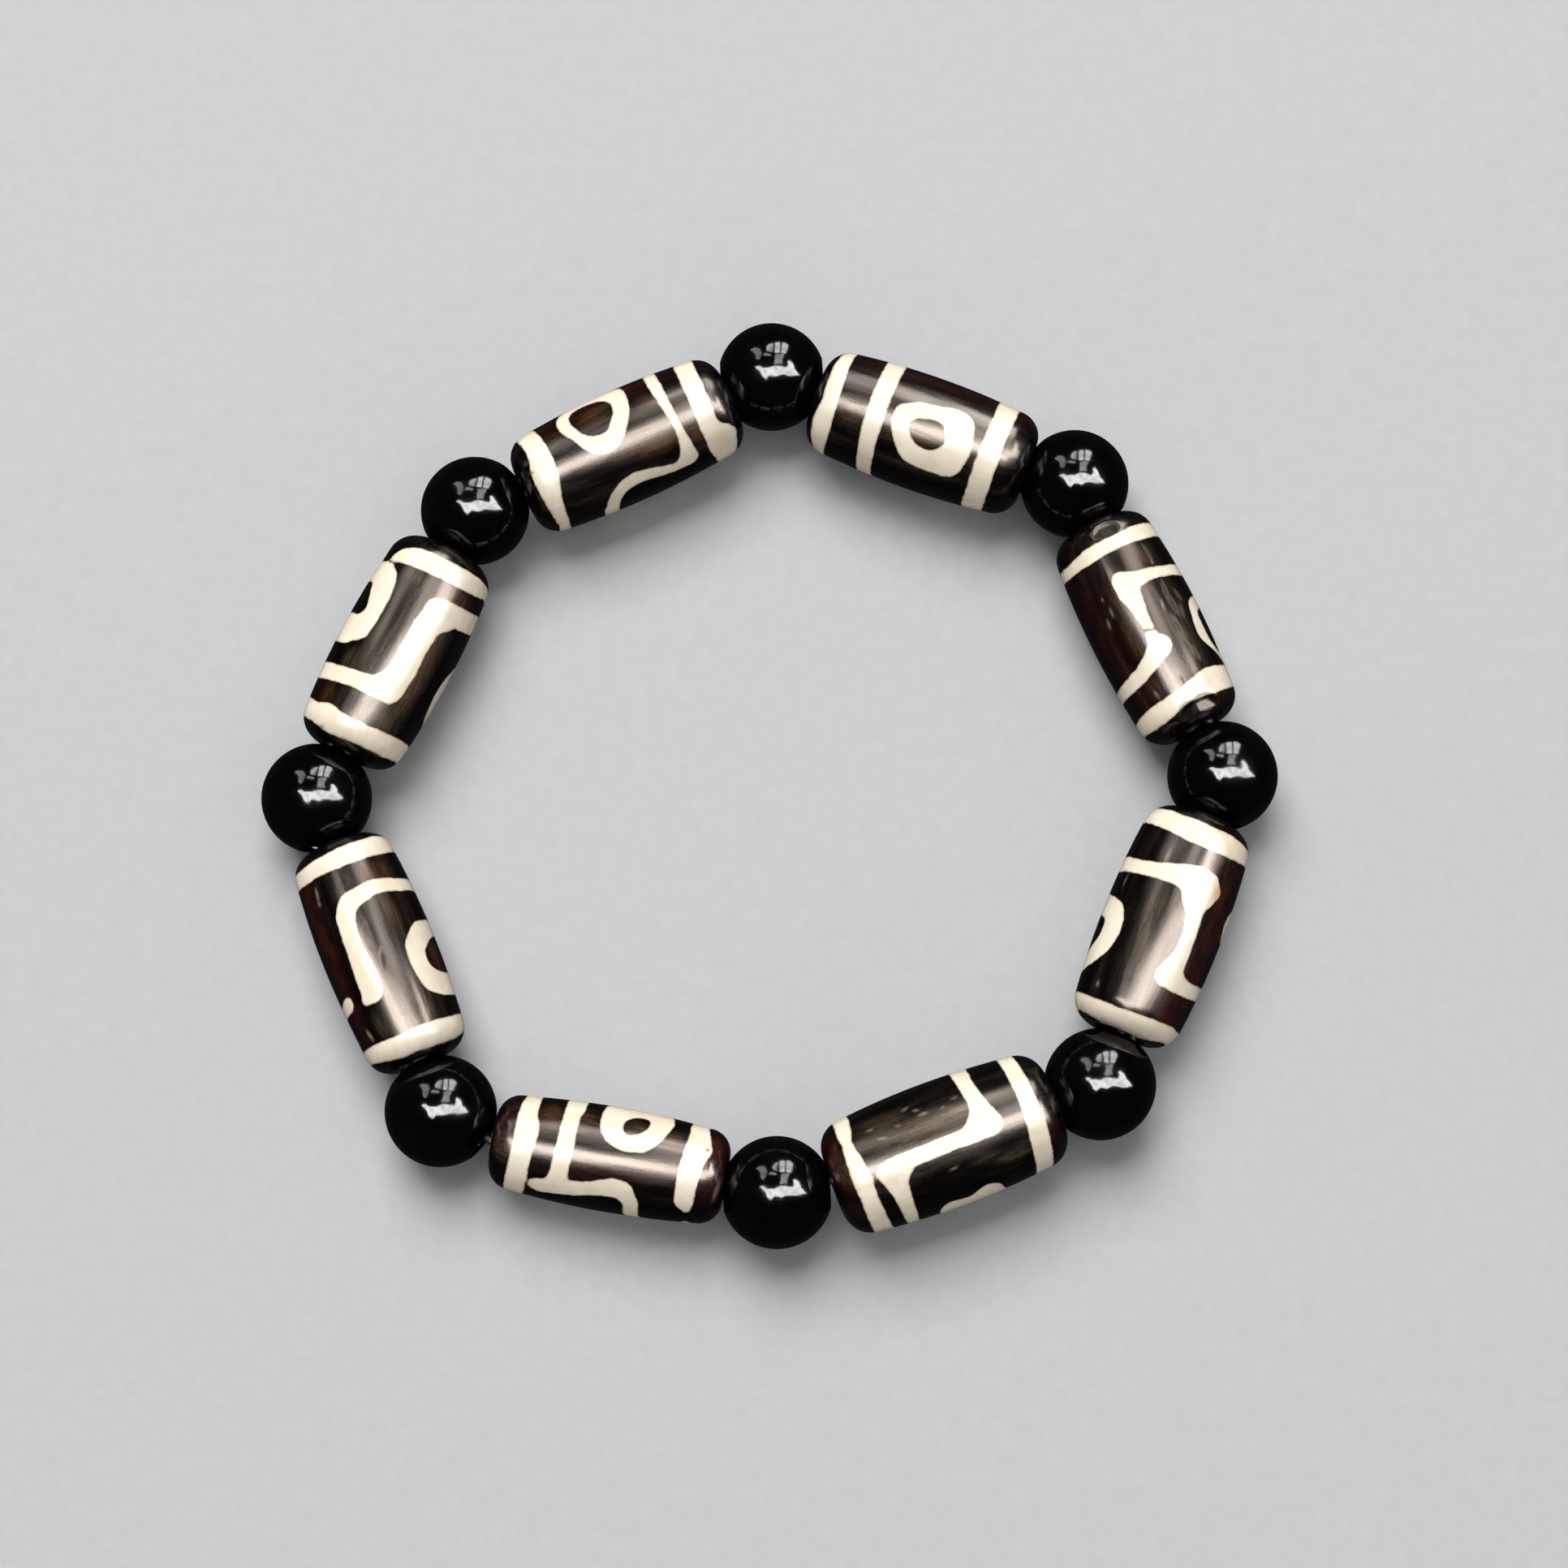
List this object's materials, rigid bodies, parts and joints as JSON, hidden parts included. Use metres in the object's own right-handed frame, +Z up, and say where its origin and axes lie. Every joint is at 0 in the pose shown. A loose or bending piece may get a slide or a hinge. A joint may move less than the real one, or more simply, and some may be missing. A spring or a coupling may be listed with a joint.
{
  "type": "dzi bead bracelet",
  "caption": "Stretch bracelet lying in a ring: long dark barrel beads with cream eye and line patterns, alternating with round black beads on an elastic thread.",
  "frame": {"origin": "middle of the overall box's base, on the surface that the bracelet lies on", "axes": "+Z up, along the wrist's axis; +Y away from the picture's viewer; +X to the viewer's right, along the ring's longer side"},
  "size_m": [0.071, 0.066, 0.0088],
  "materials": {
    "dzi_bead": "high polish, nearly black brown with cream lines level with the surface",
    "round_bead": "high polish, opaque black",
    "thread": "satin, smoky clear elastic"
  },
  "bodies": {
    "root": {"dzi_bead_1": "dzi_bead", "dzi_bead_2": "dzi_bead", "dzi_bead_3": "dzi_bead", "dzi_bead_4": "dzi_bead", "dzi_bead_5": "dzi_bead", "dzi_bead_6": "dzi_bead", "dzi_bead_7": "dzi_bead", "dzi_bead_8": "dzi_bead", "round_bead_1": "round_bead", "round_bead_2": "round_bead", "round_bead_3": "round_bead", "round_bead_4": "round_bead", "round_bead_5": "round_bead", "round_bead_6": "round_bead", "round_bead_7": "round_bead", "round_bead_8": "round_bead", "elastic_thread": "thread"}
  },
  "joints": []
}
